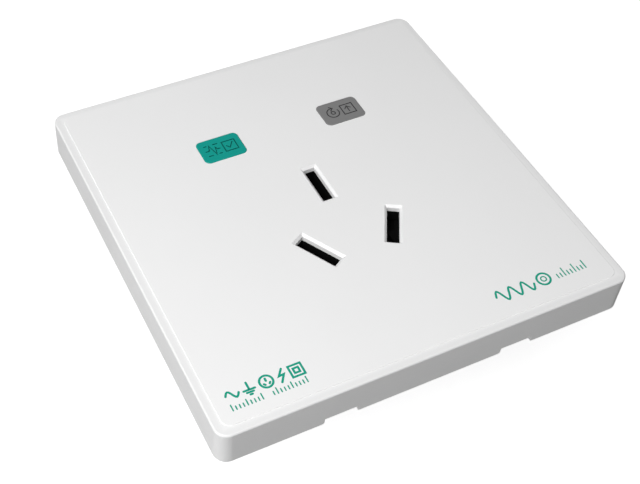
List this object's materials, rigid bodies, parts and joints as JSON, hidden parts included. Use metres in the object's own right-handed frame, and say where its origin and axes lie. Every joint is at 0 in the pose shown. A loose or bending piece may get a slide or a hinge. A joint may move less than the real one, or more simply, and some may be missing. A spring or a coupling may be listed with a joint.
{
  "type": "arc fault interrupter outlet",
  "caption": "Square flush wall outlet with three flat pin slots, test and reset buttons, pin shutter, trip solenoid, latch and moving contacts in a rear housing.",
  "frame": {"origin": "midway between the two wall screws, on the wall plane at the back edge of the cover", "axes": "+X to the right seen from the front, +Y up on the wall (earth slot and buttons towards +Y), +Z out of the wall through the face"},
  "size_m": [0.086, 0.086, 0.0385],
  "materials": {
    "white_cover": "satin white",
    "frame_plastic": "matte off-white",
    "housing_plastic": "matte off-white",
    "black_plastic": "matte black",
    "carriage_plastic": "matte red-brown",
    "teal_plastic": "satin teal",
    "grey_plastic": "satin grey",
    "contact_brass": "rolled brass",
    "silver_tip": "silver alloy",
    "zinc_steel": "zinc plated",
    "plain_steel": "plain steel",
    "copper_wire": "copper",
    "board_green": "solder mask",
    "varistor_blue": "epoxy blue",
    "film_yellow": "yellow case",
    "can_aluminium": "plain can",
    "ferrite": "dark ferrite"
  },
  "bodies": {
    "housing": {"faceplate": "white_cover", "mounting_frame": "frame_plastic", "socket_core": "black_plastic", "contact_carrier": "frame_plastic", "rear_housing": "housing_plastic", "housing_screws": "zinc_steel", "line_contact": "contact_brass", "neutral_contact": "contact_brass", "earth_contact": "contact_brass", "line_terminal": "contact_brass", "neutral_terminal": "contact_brass", "earth_terminal": "contact_brass", "terminal_screws": "zinc_steel", "line_input_strip": "contact_brass", "line_output_strip": "contact_brass", "neutral_input_strip": "contact_brass", "neutral_output_strip": "contact_brass", "earth_strip": "contact_brass", "fixed_contact_tips": "silver_tip", "circuit_board": "board_green", "processor_chip": "black_plastic", "varistor": "varistor_blue", "filter_capacitor": "film_yellow", "bulk_capacitor": "can_aluminium", "supply_choke": "ferrite", "current_sensor": "ferrite", "solenoid_yoke": "zinc_steel", "solenoid_bobbin": "black_plastic", "solenoid_coil": "copper_wire", "plunger_spring": "plain_steel", "shutter_spring": "plain_steel", "test_button_spring": "plain_steel", "test_contact_pin": "contact_brass", "reset_button_spring": "plain_steel"},
    "test_key": {"test_button": "teal_plastic"},
    "leaf": {"test_leaf": "contact_brass"},
    "reset_key": {"reset_button": "grey_plastic", "reset_stem": "plain_steel"},
    "carriage": {"contact_carriage": "carriage_plastic", "line_bridge": "copper_wire", "neutral_bridge": "copper_wire", "bridge_tips": "silver_tip", "bridge_springs": "plain_steel"},
    "latch": {"latch_plate": "plain_steel"},
    "plunger": {"solenoid_plunger": "plain_steel"},
    "shutter": {"pin_shutter": "black_plastic"}
  },
  "joints": [
    {"name": "test_press", "type": "slide", "parent": "housing", "child": "test_key", "axis": [0, 0, -1], "range_m": [0, 0.0012], "stiffness_N_per_m": 500, "springref_m": -0.002, "deforming": ["test_button_spring"]},
    {"name": "test_leaf_bend", "type": "hinge", "parent": "housing", "child": "leaf", "pos_m": [-0.014, 0.0118, -0.0062], "axis": [-1, 0, 0], "range_deg": [0, 7.1]},
    {"name": "reset_press", "type": "slide", "parent": "housing", "child": "reset_key", "axis": [0, 0, -1], "range_m": [0, 0.0016], "stiffness_N_per_m": 600, "springref_m": -0.002, "deforming": ["reset_button_spring"]},
    {"name": "carriage_slide", "type": "slide", "parent": "housing", "child": "carriage", "axis": [0, 0, -1], "range_m": [0, 0.0016]},
    {"name": "trip_slide", "type": "slide", "parent": "housing", "child": "plunger", "axis": [1, 0, 0], "range_m": [0, 0.002], "stiffness_N_per_m": 300, "springref_m": -0.002, "deforming": ["plunger_spring"]},
    {"name": "latch_slide", "type": "slide", "parent": "carriage", "child": "latch", "axis": [1, 0, 0], "range_m": [0, 0.002]},
    {"name": "shutter_slide", "type": "slide", "parent": "housing", "child": "shutter", "axis": [1, 0, 0], "range_m": [0, 0.0032], "stiffness_N_per_m": 150, "springref_m": -0.003, "deforming": ["shutter_spring"]}
  ],
  "couplings": [
    {"joint": "test_leaf_bend", "follows": "test_press", "rad_per_m": 101.5},
    {"joint": "carriage_slide", "follows": "reset_press", "ratio": 1},
    {"joint": "latch_slide", "follows": "trip_slide", "ratio": 1}
  ]
}
